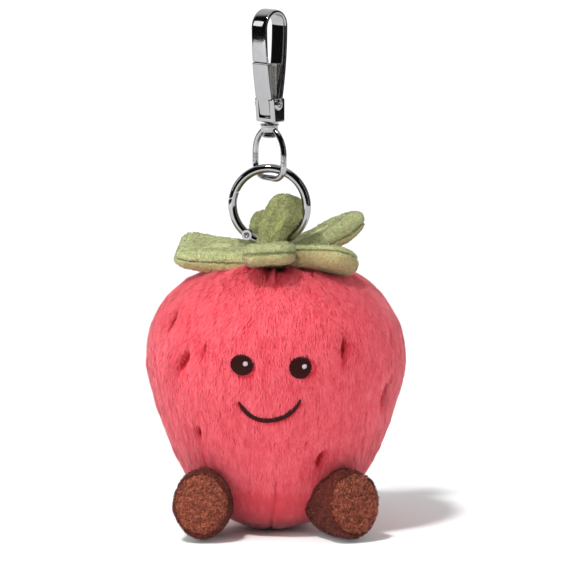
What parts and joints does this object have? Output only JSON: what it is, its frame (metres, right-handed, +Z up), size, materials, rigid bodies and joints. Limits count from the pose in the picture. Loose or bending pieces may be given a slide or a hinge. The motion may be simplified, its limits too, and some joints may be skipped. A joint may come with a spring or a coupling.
{
  "type": "plush keychain",
  "caption": "Stuffed strawberry with a stitched smile, leaf cap and two feet, hung from a hinged gate ring on a swivel snap hook.",
  "frame": {"origin": "inside top of the snap hook's bow, the point that the keychain hangs from", "axes": "+Z up, opposite to the pull of gravity as it hangs; the face looks along -Y; +X is to the right as seen from the front"},
  "size_m": [0.091, 0.0824, 0.1835],
  "materials": {
    "gunmetal": "polished dark nickel plating",
    "spring_steel": "drawn spring wire and strip",
    "red_tape": "woven tape",
    "leaf_fabric": "short brushed knit",
    "fibre_filling": "loose polyester fibre",
    "pink_plush": "short pile plush",
    "brown_fabric": "short looped pile",
    "sole_fabric": "short looped pile",
    "eye_thread": "satin stitched thread",
    "glint_thread": "satin stitched thread",
    "mouth_thread": "satin stitched thread",
    "seed_thread": "satin stitched thread"
  },
  "bodies": {
    "hook": {"hook_frame": "gunmetal", "hook_rivet": "gunmetal", "hook_spring": "spring_steel", "swivel_stud": "gunmetal"},
    "hook_gate_arm": {"hook_gate": "gunmetal"},
    "swivel": {"swivel_loop": "gunmetal"},
    "ring": {"ring_body": "gunmetal", "ring_pin": "gunmetal"},
    "ring_gate_arm": {"ring_gate": "gunmetal", "ring_plunger": "spring_steel", "ring_spring": "spring_steel"},
    "plush": {"hang_loop": "red_tape", "calyx_top": "leaf_fabric", "calyx_underside": "leaf_fabric", "calyx_stuffing": "fibre_filling", "stem_cover": "leaf_fabric", "stem_stuffing": "fibre_filling", "body_front_panel": "pink_plush", "body_back_left_panel": "pink_plush", "body_back_right_panel": "pink_plush", "body_stuffing": "fibre_filling", "foot_left_sleeve": "brown_fabric", "foot_left_sole": "sole_fabric", "foot_left_stuffing": "fibre_filling", "foot_right_sleeve": "brown_fabric", "foot_right_sole": "sole_fabric", "foot_right_stuffing": "fibre_filling", "eye_left": "eye_thread", "eye_right": "eye_thread", "eye_glint_left": "glint_thread", "eye_glint_right": "glint_thread", "mouth": "mouth_thread", "seed_stitches": "seed_thread"}
  },
  "joints": [
    {"name": "hook_gate_hinge", "type": "hinge", "parent": "hook", "child": "hook_gate_arm", "pos_m": [-0.00032, -0.00038, -0.0315], "axis": [-0.766, 0.6428, 0], "range_deg": [0, 20], "stiffness_Nm_per_rad": 0.06, "springref_deg": -20.05},
    {"name": "swivel_spin", "type": "hinge", "parent": "hook", "child": "swivel", "pos_m": [0, 0, 0], "axis": [0, 0, 1], "continuous": true},
    {"name": "ring_swing", "type": "hinge", "parent": "swivel", "child": "ring", "pos_m": [0, 0, -0.0578], "axis": [0.682, -0.7314, 0], "range_deg": [-40, 40]},
    {"name": "ring_gate_hinge", "type": "hinge", "parent": "ring", "child": "ring_gate_arm", "pos_m": [-0.00778, 0.00137, -0.07798], "axis": [0.1736, 0.9848, 0], "range_deg": [0, 28], "stiffness_Nm_per_rad": 0.03, "springref_deg": -22.92},
    {"name": "plush_swing", "type": "hinge", "parent": "ring", "child": "plush", "pos_m": [0, 0, -0.08063], "axis": [0.9848, -0.1736, 0], "range_deg": [-45, 45]}
  ]
}
